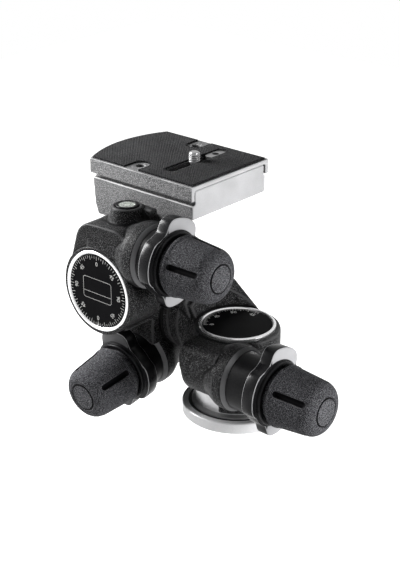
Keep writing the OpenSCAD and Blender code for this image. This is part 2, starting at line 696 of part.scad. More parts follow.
module camera_screw() {
    color("silver") translate([slot_x, screw_y, 0]) rotate_extrude() polygon([
        [0, plate_z - plate_web - 4.2], [6, plate_z - plate_web - 4.2],
        [6, plate_z - plate_web - 1.3], [screw_r, plate_z - plate_web - 1.3],
        [screw_r, plate_z - 3], [screw_r - 0.5, plate_z - 2.5], [screw_r - 0.5, plate_z + 0.1],
        [screw_r, plate_z + 0.1], [screw_r, plate_z + screw_h - 0.6], [screw_r - 0.6, plate_z + screw_h],
        [0, plate_z + screw_h]]);
}

base_disc();
pan_spindle();
pan_worm_wheel();
pan_retaining_nut();
pan_dial();
pan_thrust_washer();
spindle_screws();
pan_housing();
pan_bezel();
pan_worm_sleeve();
roll_spindle();
roll_worm_wheel();
roll_dial();
pan_worm();
pan_knob();
pan_knob_cap();
pan_release_lever();
main_housing();
tilt_bezel();
roll_rear_cover();
roll_bezel();
roll_worm_sleeve();
tilt_worm_sleeve();
cover_screws();
level_vial();
roll_worm();
roll_knob();
roll_knob_cap();
roll_release_lever();
tilt_worm();
tilt_knob();
tilt_knob_cap();
tilt_release_lever();
tilt_shaft();
tilt_worm_wheel();
tilt_dial();
receiver_bracket();
receiver();
bracket_screws();
clamp_jaw();
lock_lever();
safety_catch();
camera_plate();
plate_pad();
slot_fitting();
screw_washer();
camera_screw();
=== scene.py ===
"""Dressed scene of the geared tripod head: castings with soft edges, printed dials,
studded pad, threads, seals and the finishes of every piece. Sizes are in millimetres
and turned into metres where a mesh is made."""

import json
import math

import bmesh
import bpy
import numpy as np
from mathutils import Matrix, Vector
from mathutils.bvhtree import BVHTree

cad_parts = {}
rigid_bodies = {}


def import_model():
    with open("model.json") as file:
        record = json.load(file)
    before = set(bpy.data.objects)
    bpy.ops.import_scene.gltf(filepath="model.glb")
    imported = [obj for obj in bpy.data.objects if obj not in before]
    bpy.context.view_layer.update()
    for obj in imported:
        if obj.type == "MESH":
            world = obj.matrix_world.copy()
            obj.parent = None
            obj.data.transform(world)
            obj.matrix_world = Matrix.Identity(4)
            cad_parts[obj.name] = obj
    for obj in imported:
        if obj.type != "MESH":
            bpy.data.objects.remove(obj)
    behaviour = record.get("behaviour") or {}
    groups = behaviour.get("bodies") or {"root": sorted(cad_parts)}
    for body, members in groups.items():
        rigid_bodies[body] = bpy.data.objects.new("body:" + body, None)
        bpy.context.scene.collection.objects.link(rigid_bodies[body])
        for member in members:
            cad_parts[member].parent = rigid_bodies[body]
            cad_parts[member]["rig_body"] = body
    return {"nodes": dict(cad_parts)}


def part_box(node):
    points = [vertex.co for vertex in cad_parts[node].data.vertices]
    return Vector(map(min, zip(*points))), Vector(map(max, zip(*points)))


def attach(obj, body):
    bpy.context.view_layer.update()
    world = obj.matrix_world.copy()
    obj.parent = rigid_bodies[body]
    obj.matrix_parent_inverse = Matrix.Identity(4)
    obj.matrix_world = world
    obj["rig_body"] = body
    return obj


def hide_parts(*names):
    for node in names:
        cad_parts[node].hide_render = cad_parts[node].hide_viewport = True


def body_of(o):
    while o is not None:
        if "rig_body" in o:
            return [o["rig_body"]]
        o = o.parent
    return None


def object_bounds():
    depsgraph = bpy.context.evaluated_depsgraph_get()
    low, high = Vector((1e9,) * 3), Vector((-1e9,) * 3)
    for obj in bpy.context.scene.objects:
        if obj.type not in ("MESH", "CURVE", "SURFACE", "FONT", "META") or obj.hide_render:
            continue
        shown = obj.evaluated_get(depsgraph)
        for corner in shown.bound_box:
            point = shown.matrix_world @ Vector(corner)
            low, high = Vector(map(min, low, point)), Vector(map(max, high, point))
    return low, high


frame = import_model()
cad_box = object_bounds()
nodes = frame["nodes"]
MM = 0.001
SCALE_MM = Matrix.Scale(MM, 4)
ALONG_X = (1, 0, 0)
ALONG_Y = (0, 1, 0)
UP = (0, 0, 1)


# ---- places taken from the frame, in millimetres ----

def corners(node):
    """Lowest and highest corner of a CAD node in millimetres."""
    low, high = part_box(node)
    return Vector(low) / MM, Vector(high) / MM


def middle(node):
    low, high = corners(node)
    return (low + high) / 2


pan_dial_at = middle("pan_dial")
pan_dial_top = corners("pan_dial")[1].z
tilt_dial_at = middle("tilt_dial")
tilt_dial_front = corners("tilt_dial")[0].y
roll_dial_at = middle("roll_dial")
roll_dial_front = corners("roll_dial")[0].x
pan_dial_r = (corners("pan_dial")[1].x - corners("pan_dial")[0].x) / 2
tilt_dial_r = (corners("tilt_dial")[1].x - corners("tilt_dial")[0].x) / 2
vial_at = middle("level_vial")
vial_top = corners("level_vial")[1].z
pad_low, pad_high = corners("plate_pad")
base_high = corners("base_disc")[1]
screw_at = middle("camera_screw")
screw_low, screw_high = corners("camera_screw")


# ---- sizes, in millimetres ----

BASE_RIM = 6.3          # height of the base disc's rim
ROLL_SLOPE = 8          # degrees the lateral knob's axis drops towards its end
WORM_CENTRE = 23.5      # distance from each gear axis to its worm axis
PAN_WORM_Z = 35         # places of the worms' axes
TILT_WORM_Y = -33.8
ROLL_WORM_X = -55.9
KNOB_S = {"pan": 51.2, "tilt": 48, "roll": 50.5}    # skirt of each knob along its drive
MOUTHS = {"pan": 22.5, "tilt": 27.7, "roll": 26.5}  # where each casing's bevelled mouth starts
MOUTH_BEVEL = (0.2, 4)  # its bare bevel, outwards from there
MOUTH_RADII = (16.1, 18.6)
LEVER_GAP = 5.3         # knob skirt to the release lever's front face
LEVER_HUB_R = 18.3
LEVER_THICK = 7.2
LOBE_R = 20.2           # radius past which a lever's face is one of its lobes
EASE_DEG = 4.5          # how far the lobes' corners are eased round the lever
DIAL_EDGE = 0.3         # a dial's rim to the ends of its marks
NUMBER_IN = 4.9         # a dial's rim to the middle of its numbers
FLOOR_DROP = 34         # lowest point of the part to the floor


def drive_matrix(at, turn):
    """Frame of a worm drive in metres: its Z runs out to the knob and its Y is up."""
    return SCALE_MM @ Matrix.Translation(at) @ turn


SIDEWAYS = Matrix.Rotation(math.pi / 2, 4, "Z") @ Matrix.Rotation(math.pi / 2, 4, "X")
slope = math.radians(ROLL_SLOPE)
tilt_centre = Vector((tilt_dial_at.x, TILT_WORM_Y, tilt_dial_at.z))
roll_centre = Vector((ROLL_WORM_X, roll_dial_at.y, roll_dial_at.z))
DRIVES = {
    "pan": drive_matrix((0, -WORM_CENTRE, PAN_WORM_Z), SIDEWAYS),
    "tilt": drive_matrix(tilt_centre + Vector((0, 0, WORM_CENTRE)), SIDEWAYS),
    "roll": drive_matrix(
        roll_centre + Vector((0, math.sin(slope) * WORM_CENTRE, -math.cos(slope) * WORM_CENTRE)),
        Matrix.Rotation(math.radians(90 + ROLL_SLOPE), 4, "X")),
}


# ---- shader nodes ----

def link_new(tree, kind, inputs=None, **settings):
    """Adds a node, sets its properties, and fills its inputs with values or sockets."""
    made = tree.nodes.new(kind)
    for name, value in settings.items():
        setattr(made, name, value)
    for key, value in (inputs or {}).items():
        if isinstance(value, bpy.types.NodeSocket):
            tree.links.new(value, made.inputs[key])
        else:
            made.inputs[key].default_value = value
    return made


def noise(tree, where, size, detail=3.0):
    """Noise whose features are about size millimetres across."""
    return link_new(tree, "ShaderNodeTexNoise", {
        "Vector": where, "Scale": 1 / (size * MM), "Detail": detail, "Roughness": 0.55}
        ).outputs["Fac"]


def ramp(tree, value, low, high, a=0.0, b=1.0):
    """Maps low..high of a value to a..b, held inside those ends."""
    made = link_new(tree, "ShaderNodeMapRange", {0: value, 1: low, 2: high, 3: a, 4: b})
    made.clamp = True
    return made.outputs[0]


def maths(tree, operation, a, b=0.0):
    return link_new(tree, "ShaderNodeMath", {0: a, 1: b}, operation=operation).outputs[0]


def blend_values(tree, factor, a, b):
    return link_new(tree, "ShaderNodeMix", {0: factor, 2: a, 3: b}).outputs[0]


def blend_colours(tree, factor, a, b):
    made = link_new(tree, "ShaderNodeMix", {0: factor}, data_type="RGBA")
    for socket, value in ((made.inputs[6], a), (made.inputs[7], b)):
        if isinstance(value, bpy.types.NodeSocket):
            tree.links.new(value, socket)
        else:
            socket.default_value = (*value, 1)
    return made.outputs[2]


def round_axis(tree, where, place, direction):
    """Sockets for a point's distance from an axis and its height along it, in metres."""
    arm = link_new(tree, "ShaderNodeVectorMath", {0: where, 1: Vector(place) * MM},
                   operation="SUBTRACT").outputs[0]
    across = link_new(tree, "ShaderNodeVectorMath", {0: arm, 1: Vector(direction)},
                      operation="CROSS_PRODUCT").outputs[0]
    radius = link_new(tree, "ShaderNodeVectorMath", {0: across}, operation="LENGTH").outputs[1]
    along = link_new(tree, "ShaderNodeVectorMath", {0: arm, 1: Vector(direction)},
                     operation="DOT_PRODUCT").outputs[1]
    return radius, along


# ---- camera, light and floor ----

FOCAL_PX = 1377.09      # focal length of the photograph's camera, in its pixels
PHOTO_HEIGHT_PX = 570
SENSOR_MM = 36
FILL_STRENGTH = 0.05    # of the even light from all round
FLOOR_HALF = 0.8        # half the floor's side, in metres
GLOW_FADE = (0.2, 0.55)     # metres from the middle over which the floor's own light grows
GLOW_STRENGTH = (0.86, 1.0)


def look_through():
    """The photograph's camera: right, up and back directions and the place in metres."""
    back = Vector((0.60001597, -0.69112279, 0.40290213))
    right = Vector((0.75478628, 0.65596974, 0.00117106))
    up = Vector((-0.26510095, 0.30340234, 0.91524232))
    at = Vector((0.42667379, -0.52226170, 0.37121458))
    data = bpy.data.cameras.new("camera")
    data.sensor_fit = "VERTICAL"
    data.sensor_height = SENSOR_MM
    data.lens = FOCAL_PX / PHOTO_HEIGHT_PX * SENSOR_MM
    data.clip_start = 0.01
    camera = bpy.data.objects.new("camera", data)
    bpy.context.collection.objects.link(camera)
    camera.matrix_world = Matrix((
        (right.x, up.x, back.x, at.x),
        (right.y, up.y, back.y, at.y),
        (right.z, up.z, back.z, at.z),
        (0, 0, 0, 1)))
    bpy.context.scene.camera = camera


def softbox(name, at, aim, width, height, watts):
    """A rectangular lamp, its size and place in metres, turned to face a point."""
    data = bpy.data.lights.new(name, "AREA")
    data.shape = "RECTANGLE"
    data.size = width
    data.size_y = height
    data.energy = watts
    lamp = bpy.data.objects.new(name, data)
    bpy.context.collection.objects.link(lamp)
    lamp.visible_camera = False
    lamp.location = at
    lamp.rotation_euler = (Vector(at) - Vector(aim)).to_track_quat("Z", "Y").to_euler()


def seen_directly(tree):
    """A socket that is 1 for camera, mirror and glass rays."""
    path = link_new(tree, "ShaderNodeLightPath").outputs
    bent = maths(tree, "MAXIMUM", path["Is Glossy Ray"], path["Is Transmission Ray"])
    return maths(tree, "MAXIMUM", path["Is Camera Ray"], bent)


def light_world():
    """White to the eye, a dim even fill to everything else."""
    world = bpy.data.worlds.new("studio")
    world.use_nodes = True
    bpy.context.scene.world = world
    tree = world.node_tree
    tree.nodes.clear()
    seen = link_new(tree, "ShaderNodeBackground", {"Color": (1, 1, 1, 1), "Strength": 1})
    fill = link_new(tree, "ShaderNodeBackground",
                    {"Color": (0.93, 0.96, 1, 1), "Strength": FILL_STRENGTH})
    mix = link_new(tree, "ShaderNodeMixShader",
                   {0: seen_directly(tree), 1: fill.outputs[0], 2: seen.outputs[0]})
    link_new(tree, "ShaderNodeOutputWorld", {0: mix.outputs[0]})


def floor_paper():
    """Pale matt paper that glows where the eye sees it, so that it looks white."""
    material = bpy.data.materials.new("floor_paper")
    material.use_nodes = True
    tree = material.node_tree
    shader = tree.nodes["Principled BSDF"]
    shader.inputs["Base Color"].default_value = (0.5, 0.5, 0.5, 1)
    shader.inputs["Roughness"].default_value = 0.9
    shader.inputs["Specular IOR Level"].default_value = 0.1
    where = link_new(tree, "ShaderNodeTexCoord").outputs["Object"]
    away, _ = round_axis(tree, where, (0, 0, 0), UP)
    glow = link_new(tree, "ShaderNodeEmission",
                    {"Strength": ramp(tree, away, *GLOW_FADE, *GLOW_STRENGTH)})
    both = link_new(tree, "ShaderNodeAddShader", {0: shader.outputs[0], 1: glow.outputs[0]})
    pick = link_new(tree, "ShaderNodeMixShader",
                    {0: seen_directly(tree), 1: shader.outputs[0], 2: both.outputs[0]})
    tree.links.new(pick.outputs[0], tree.nodes["Material Output"].inputs[0])
    return material


def lay_floor():
    """A wide floor, a little under the head as under a tripod, so that the lateral knob
    clears it at every tilt."""
    z = min(0.0, cad_box[0][2]) - FLOOR_DROP * MM
    half = FLOOR_HALF
    mesh = bpy.data.meshes.new("floor")
    mesh.from_pydata([(-half, -half, z), (half, -half, z), (half, half, z), (-half, half, z)],
                     [], [(0, 1, 2, 3)])
    floor = bpy.data.objects.new("floor", mesh)
    bpy.context.collection.objects.link(floor)
    mesh.materials.append(floor_paper())


def light_studio():
    """A key light at the upper left, a low strip to the right, and weak ones above and in front."""
    aim = (-0.03, 0, 0.07)
    softbox("left_key", (-0.36, -0.14, 0.26), aim, 0.14, 0.22, 4.6)
    softbox("right_strip", (0.46, 0.04, 0.08), aim, 0.12, 0.24, 3.0)
    softbox("top_panel", (-0.10, 0.25, 0.70), aim, 0.40, 0.40, 0.5)
    softbox("low_front", (0.02, -0.50, 0.03), aim, 0.30, 0.10, 0.5)


# ---- finishes ----

BLOTCH = 18.0           # size of the broad cloudiness, in millimetres
MARKS_SCALE = 2600.0    # noise scale of the turning marks
ZONE_EDGE = 0.12        # half the width over which a bare zone's edge fades
BARE_ROUGH = 0.32
BARE_SHADE = 0.8        # how dark bare metal gets in its clouds
GRAIN_SHARE = 0.7       # of the tone, the rest being cloudiness
SPECK_FADE = 0.09


def wear_and_shade(tree, broad, colour, roughness, dark, worn, worn_rough):
    """Colour and roughness with painted shade in the hollows and rubbed edges, where the mesh's
    attribute for rubbing and shade is below and above 0."""
    mark = link_new(tree, "ShaderNodeAttribute", attribute_name="rub_and_shade").outputs["Fac"]
    # painted shade: where the mark is below 0, in hollows and creases, the colour goes to the dark
    # one
    colour = blend_colours(tree, ramp(tree, mark, -0.6, -0.1, 1, 0), colour, dark)
    rub_and_shade = maths(tree, "ADD", mark, ramp(tree, broad, 0.3, 0.7, -0.25, 0.2))
    rub_and_shade = ramp(tree, rub_and_shade, 0.35, 0.7)
    return blend_colours(tree, rub_and_shade, colour, worn), blend_values(tree, rub_and_shade, roughness, worn_rough)


def bare_zone(tree, where, fine, place, direction, heights, radii):
    """A socket that is nearly 1 between two heights and two radii of an axis, and 0 outside."""
    radius, along = round_axis(tree, where, place, direction)
    zone = ramp(tree, fine, 0.3, 0.7, 0.85, 1.0)
    for value, (least, most) in ((along, heights), (radius, radii)):
        past = ramp(tree, value, (least - ZONE_EDGE) * MM, (least + ZONE_EDGE) * MM)
        short = ramp(tree, value, (most - ZONE_EDGE) * MM, (most + ZONE_EDGE) * MM, 1, 0)
        zone = maths(tree, "MULTIPLY", zone, maths(tree, "MULTIPLY", past, short))
    return zone


def finish(name, dark, light, rough, grain, relief, metallic=0.0, specular=0.5, spread=0.08,
           speck=0.0, speck_colour=None, rings=None, worn=None, worn_rough=0.35,
           bare=(), bare_mark=False, bare_colour=None):
    """A surface with fine grain and broad cloudiness. Where asked for it has light specks,
    turning marks round rings, an axis given as (place, direction), edges rubbed to the colour
    worn with painted shade in the hollows, and bare metal: in zones given as (place, direction,
    (low, high) along it, (least, most) radius), or where the mesh's attribute "bare" says."""
    material = bpy.data.materials.new(name)
    material.use_nodes = True
    tree = material.node_tree
    shader = tree.nodes["Principled BSDF"]
    shader.inputs["Metallic"].default_value = metallic
    shader.inputs["Specular IOR Level"].default_value = specular
    where = link_new(tree, "ShaderNodeTexCoord").outputs["Object"]
    fine = noise(tree, where, grain)
    broad = noise(tree, where, BLOTCH, 2.0)
    cloud = ramp(tree, broad, 0.3, 0.7)
    tone = maths(tree, "ADD",
                 maths(tree, "MULTIPLY", ramp(tree, fine, 0.35, 0.65), GRAIN_SHARE),
                 maths(tree, "MULTIPLY", cloud, 1 - GRAIN_SHARE))
    colour = blend_colours(tree, tone, dark, light)
    roughness = maths(tree, "ADD", ramp(tree, broad, 0.3, 0.7, rough - spread, rough + spread),
                      ramp(tree, fine, 0.35, 0.65, -spread / 2, spread / 2))
    if speck:
        dots = ramp(tree, noise(tree, where, grain * 1.3, 1.0), 1 - speck, 1 - speck + SPECK_FADE)
        colour = blend_colours(tree, dots, colour, speck_colour)
    height = fine
    if rings:
        radius, _ = round_axis(tree, where, *rings)
        marks = link_new(tree, "ShaderNodeTexNoise",
                         {"W": radius, "Scale": MARKS_SCALE, "Detail": 2.0},
                         noise_dimensions="1D").outputs["Fac"]
        height = maths(tree, "ADD", maths(tree, "MULTIPLY", fine, 0.35), marks)
        colour = blend_colours(tree, ramp(tree, marks, 0.3, 0.7, 0, 0.35), colour, dark)
    if worn:
        colour, roughness = wear_and_shade(tree, broad, colour, roughness, dark, worn, worn_rough)
    zones = [bare_zone(tree, where, fine, *zone) for zone in bare]
    if bare_mark:
        zones.append(link_new(tree, "ShaderNodeAttribute", attribute_name="bare").outputs["Fac"])
    for zone in zones:
        metal = blend_colours(tree, cloud, bare_colour, tuple(c * BARE_SHADE for c in bare_colour))
        colour = blend_colours(tree, zone, colour, metal)
        roughness = blend_values(tree, zone, roughness, BARE_ROUGH)
    bump = link_new(tree, "ShaderNodeBump",
                    {"Height": height, "Strength": 1.0, "Distance": relief * MM})
    tree.links.new(colour, shader.inputs["Base Color"])
    tree.links.new(roughness, shader.inputs["Roughness"])
    tree.links.new(bump.outputs[0], shader.inputs["Normal"])
    return material


def drive_axis(drive):
    """Place in millimetres and outward direction of a worm drive."""
    matrix = DRIVES[drive]
    return tuple(matrix.translation / MM), tuple(matrix.to_3x3().col[2].normalized())


def black_paint(name, mouths=()):
    """Crackled black enamel, with the bevelled casing mouths it names left bare."""
    bevels = [(*drive_axis(drive), tuple(MOUTHS[drive] + reach for reach in MOUTH_BEVEL),
               MOUTH_RADII) for drive in mouths]
    return finish(name, (0.002, 0.002, 0.0022), (0.010, 0.010, 0.0105), 0.4, 0.3, 0.07,
                  speck=0.44, speck_colour=(0.13, 0.13, 0.132), worn=(0.05, 0.05, 0.051),
                  specular=0.04, bare=bevels, bare_colour=(0.24, 0.24, 0.245))


# bare metal of the three levers' lobes; on the lateral lever the lobes are painted dark as shade
LOBE_ALLOY_AND_SHADE = {"pan": (0.42, 0.42, 0.43), "tilt": (0.40, 0.40, 0.41), "roll": (0.07, 0.07, 0.072)}


def lever_black(drive):
    """Satin black with bright rubbed edges, partly a painted highlight, and bare alloy on the thumb
    lobes' front faces, which on the lateral lever is painted shade instead.
    """
    return finish(f"{drive}_lever_black", (0.003, 0.003, 0.0035), (0.011, 0.011, 0.012), 0.3,
                  0.5, 0.03, worn=(0.42, 0.42, 0.43), worn_rough=0.3, specular=0.1,
                  bare_mark=True, bare_colour=LOBE_ALLOY_AND_SHADE[drive])


def grey_paint(name, dark, light, end_x):
    """Speckled grey paint, lighter and smoother at its +X end."""
    end = ((0, 0, 0), ALONG_X, (end_x - 0.5, end_x + 5), (-1, 300))
    return finish(name, dark, light, 0.42, 0.34, 0.06, speck=0.46, worn_rough=0.4,
                  speck_colour=(0.34, 0.34, 0.345), worn=(0.5, 0.5, 0.5), specular=0.08,
                  bare=[end], bare_colour=(0.55, 0.55, 0.56))


KNOB_RUBBER = finish("knob_sand", (0.003, 0.003, 0.0035), (0.04, 0.04, 0.044), 0.6, 0.24, 0.07,
                     speck=0.46, speck_colour=(0.18, 0.18, 0.19), worn=(0.12, 0.12, 0.124),
                     worn_rough=0.5, specular=0.02)
KNOB_CAP = finish("knob_cap", (0.005, 0.005, 0.0055), (0.05, 0.05, 0.055), 0.5, 0.24, 0.06,
                  speck=0.46, speck_colour=(0.22, 0.22, 0.23), worn=(0.10, 0.10, 0.10),
                  specular=0.02)
RECEIVER_GREY = grey_paint("receiver_paint", (0.02, 0.02, 0.0205), (0.17, 0.17, 0.172),
                           corners("receiver")[1].x)
PLATE_GREY = grey_paint("plate_paint", (0.02, 0.02, 0.0205), (0.18, 0.18, 0.182),
                        corners("camera_plate")[1].x)
PAD_RUBBER = finish("pad_rubber", (0.003, 0.003, 0.0035), (0.012, 0.012, 0.0125), 0.6, 0.4, 0.04,
                    speck=0.46, speck_colour=(0.05, 0.05, 0.051), specular=0.02)
DIAL_BLACK = finish("dial_black", (0.0025, 0.0025, 0.003), (0.006, 0.006, 0.0065), 0.34, 0.3,
                    0.004, spread=0.05, specular=0.01)
PRINT_WHITE = finish("dial_print", (0.7, 0.7, 0.68), (0.9, 0.9, 0.88), 0.5, 0.25, 0.004)
PRINT_GREY = finish("dial_print_grey", (0.36, 0.36, 0.35), (0.5, 0.5, 0.49), 0.5, 0.25, 0.004)
PLASTIC = finish("black_plastic", (0.003, 0.003, 0.0035), (0.011, 0.011, 0.0115), 0.36, 0.45,
                 0.03, specular=0.07)
SEAL = finish("seal_rubber", (0.004, 0.004, 0.004), (0.015, 0.015, 0.016), 0.55, 0.3, 0.03,
              specular=0.2)
DARK_SCREW = finish("dark_screw", (0.02, 0.02, 0.022), (0.07, 0.07, 0.075), 0.3, 0.3, 0.02,
                    metallic=0.9)
BRONZE = finish("bronze", (0.32, 0.19, 0.07), (0.55, 0.35, 0.15), 0.32, 0.4, 0.02, metallic=1.0)
STEEL = finish("turned_steel", (0.36, 0.36, 0.37), (0.62, 0.62, 0.63), 0.28, 0.4, 0.02,
               metallic=1.0)


def turned(name, place, direction, light=0.78, rough=0.3, metallic=0.85):
    """Bare metal with turning marks round an axis."""
    dark = light * 0.75
    return finish(name, (dark, dark, dark * 1.01), (light, light, light * 1.01), rough, 0.35, 0.012,
                  metallic=metallic, rings=(place, direction), spread=0.06)


def glass(name, colour, rough):
    material = finish(name, colour, tuple(c * 1.1 for c in colour), rough, 0.6, 0.002, spread=0.02)
    shader = material.node_tree.nodes["Principled BSDF"]
    shader.inputs["Transmission Weight"].default_value = 0.85
    shader.inputs["IOR"].default_value = 1.45
    return material


# ---- mesh helpers ----

PIECE_CREASE = math.radians(32)     # edges sharper than this stay sharp on pieces
NODE_CREASE = math.radians(30)      # and on CAD nodes
MELT = 0.55             # how far a point of a casting moves to its neighbours' middle each round
FULL_WEAR_AND_SHADE = 0.45        # movement inwards that counts as full wear, and outwards as full painted shade, as a share of the grid's size
SHADE_WEIGHT = 4            # how strongly the painted shade in a hollow outweighs the wear

def piece(name, verts, faces, material, body, smooth=True, matrix=SCALE_MM):
    """A new mesh piece, its points in millimetres of the part's frame or of another one."""
    mesh = bpy.data.meshes.new(name)
    mesh.from_pydata([matrix @ Vector(v) for v in verts], [], faces)
    work = bmesh.new()
    work.from_mesh(mesh)
    bmesh.ops.recalc_face_normals(work, faces=work.faces)
    work.to_mesh(mesh)
    work.free()
    mesh.materials.append(material)
    obj = bpy.data.objects.new(name, mesh)
    bpy.context.collection.objects.link(obj)
    if smooth:
        mesh.polygons.foreach_set("use_smooth", [True] * len(mesh.polygons))
        mesh.set_sharp_from_angle(angle=PIECE_CREASE)
    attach(obj, body)
    return obj


def turn_angles(steps):
    return [2 * math.pi * i / steps for i in range(steps)]


def ring_faces(steps, n):
    """Faces between neighbouring closed outlines of n points that stand round an axis."""
    return [(i * n + j, i * n + (j + 1) % n, (i + 1) % steps * n + (j + 1) % n,
             (i + 1) % steps * n + j) for i in range(steps) for j in range(n)]


def revolve(profile, steps):
    """Points and faces of a closed (radius, height) outline turned round Z."""
    verts = [(r * math.cos(a), r * math.sin(a), z) for a in turn_angles(steps) for r, z in profile]
    return verts, ring_faces(steps, len(profile))


def ring_profile(inner, outer, low, high, soft=0.15):
    """A rectangle with its four corners broken."""
    return [(inner + soft, low), (outer - soft, low), (outer, low + soft), (outer, high - soft),
            (outer - soft, high), (inner + soft, high), (inner, high - soft), (inner, low + soft)]


def spread_out(values, first, second, count):
    """Sum of neighbour values at each point of a mesh."""
    total = np.empty_like(values)
    for axis in range(3):
        total[:, axis] = (np.bincount(first, values[second, axis], count)
                          + np.bincount(second, values[first, axis], count))
    return total


def cast(name, material, voxel, rounds, keep=None, painted_shade=None):
    """A casting made from a CAD solid of that name: remeshed on a grid, its edges melted to
    soft radii, the outer edges marked for wear and the creases for painted shade. keep(points)
    gives 1 where the machined shape stays sharp and 0 where it melts; the last test gives 1 in
    hollows that are painted dark as shade."""
    source = nodes[name]
    work = source.copy()
    work.data = source.data.copy()
    bpy.context.collection.objects.link(work)
    grid = work.modifiers.new("grid", "REMESH")
    grid.mode = "VOXEL"
    grid.voxel_size = voxel * MM
    view = bpy.context.evaluated_depsgraph_get()
    mesh = bpy.data.meshes.new_from_object(work.evaluated_get(view))
    bpy.data.objects.remove(work)
    mesh.name = name + "_cast"
    count = len(mesh.vertices)
    points = np.empty(count * 3)
    mesh.vertices.foreach_get("co", points)
    points = points.reshape(-1, 3)
    edges = np.empty(len(mesh.edges) * 2, dtype=np.int64)
    mesh.edges.foreach_get("vertices", edges)
    first, second = edges[0::2], edges[1::2]
    degree = np.bincount(edges, minlength=count)[:, None]
    melt = np.full((count, 1), MELT)
    if keep is not None:
        melt *= 1 - keep(points / MM)[:, None]
    start = points.copy()
    for _ in range(rounds):
        points += melt * (spread_out(points, first, second, count) / degree - points)
    normals = np.empty(count * 3)
    mesh.vertices.foreach_set("co", points.ravel())
    mesh.update()
    mesh.vertices.foreach_get("normal", normals)
    # points melted inwards lie on edges, which count as rubbed; points melted outwards lie in
    # creases, where the negative mark paints shade
    inwards = np.einsum("ij,ij->i", start - points, normals.reshape(-1, 3))
    rub_and_shade = inwards / (FULL_WEAR_AND_SHADE * voxel * MM)
    # painted shade: the hollows that the last test gives, knob grooves and cap rims, get a low mark
    # and a dark colour
    if painted_shade is not None:
        rub_and_shade -= SHADE_WEIGHT * painted_shade(points / MM)
    field = mesh.attributes.new("rub_and_shade", "FLOAT", "POINT")
    field.data.foreach_set("value", np.clip(rub_and_shade, -1, 1).astype(np.float32))
    mesh.polygons.foreach_set("use_smooth", [True] * len(mesh.polygons))
    mesh.materials.clear()
    mesh.materials.append(material)
    mesh.polygons.foreach_set("material_index", [0] * len(mesh.polygons))
    obj = bpy.data.objects.new(name + "_cast", mesh)
    bpy.context.collection.objects.link(obj)
    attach(obj, body_of(source)[0])
    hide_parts(name)


def local_mm(points, drive):
    """Points of the part's frame, in millimetres, seen in a drive's own frame."""
    at = np.array(DRIVES[drive].translation) / MM
    turn = np.array(DRIVES[drive].to_3x3().normalized())
    return (points - at) @ turn


def round_drive(points, drive):
    """Each point's distance from a drive's axis and its height along it, in millimetres."""
    own = local_mm(points, drive)
    return np.hypot(own[:, 0], own[:, 1]), own[:, 2]


def near_mouths(*drives):
    """A test that is high at the machined rims of the casing mouths, which stay sharp."""
    low, high, reach, firm = -1.5, 4, 19, 0.85

    def keep(points):
        held = np.zeros(len(points))
        for drive in drives:
            radius, along = round_drive(points, drive)
            height = along - MOUTHS[drive]
            held = np.maximum(held, ((height > low) & (height < high) & (radius < reach)) * firm)
        return held
    return keep


# ---- castings, knobs and levers ----

def knob_grooves(drive):
    """A test that gives 1 for points deep in the grooves of a knob, where shade is painted dark,
    and 0 elsewhere. Depth is taken from the knob's outline, its widest radius in rows of half a
    millimetre."""
    rows_per_mm, row_count = 2, 80
    lip, fade = 0.35, 0.5
    first, last = 3, 22.5

    def test(points):
        radius, along = round_drive(points, drive)
        along = along - KNOB_S[drive]
        row = np.clip((along * rows_per_mm).astype(int), 0, row_count - 1)
        outline = np.zeros(row_count)
        np.maximum.at(outline, row, radius)
        deep = np.clip((outline[row] - radius - lip) / fade, 0, 1)
        return deep * (along > first) * (along < last)
    return test


def cap_rim(drive):
    """A test that gives 1 for points at a cap's rim, where a line of shade is painted dark, and 0
    elsewhere.
    """
    width, fade = 0.8, 0.4

    def test(points):
        radius, _ = round_drive(points, drive)
        return np.clip((radius - radius.max() + width) / fade, 0, 1)
    return test


def lever_radii(drive, steps):
    """Radius of a release lever at even steps round its axis: read from its solid at half
    its thickness, then eased so that lobes and shoulder run into each other."""
    mesh = nodes[f"{drive}_release_lever"].data
    points = np.array([v.co for v in mesh.vertices]) / MM
    tree = BVHTree.FromPolygons([Vector(p) for p in local_mm(points, drive)],
                                [tuple(p.vertices) for p in mesh.polygons])
    level = KNOB_S[drive] - LEVER_GAP - LEVER_THICK / 2
    outside = 40
    radii = []
    for a in turn_angles(steps):
        way = Vector((math.cos(a), math.sin(a), 0))
        found = tree.ray_cast(way * outside + Vector((0, 0, level)), -way)[0]
        radii.append(math.hypot(found.x, found.y))
    radii = np.array(radii)
    window = 30
    reach = np.arange(-window, window + 1)
    weight = np.exp(-(reach * 360 / steps / EASE_DEG) ** 2 / 2)
    eased = sum(w * np.roll(radii, k) for k, w in zip(reach, weight)) / weight.sum()
    return np.maximum(eased, LEVER_HUB_R)


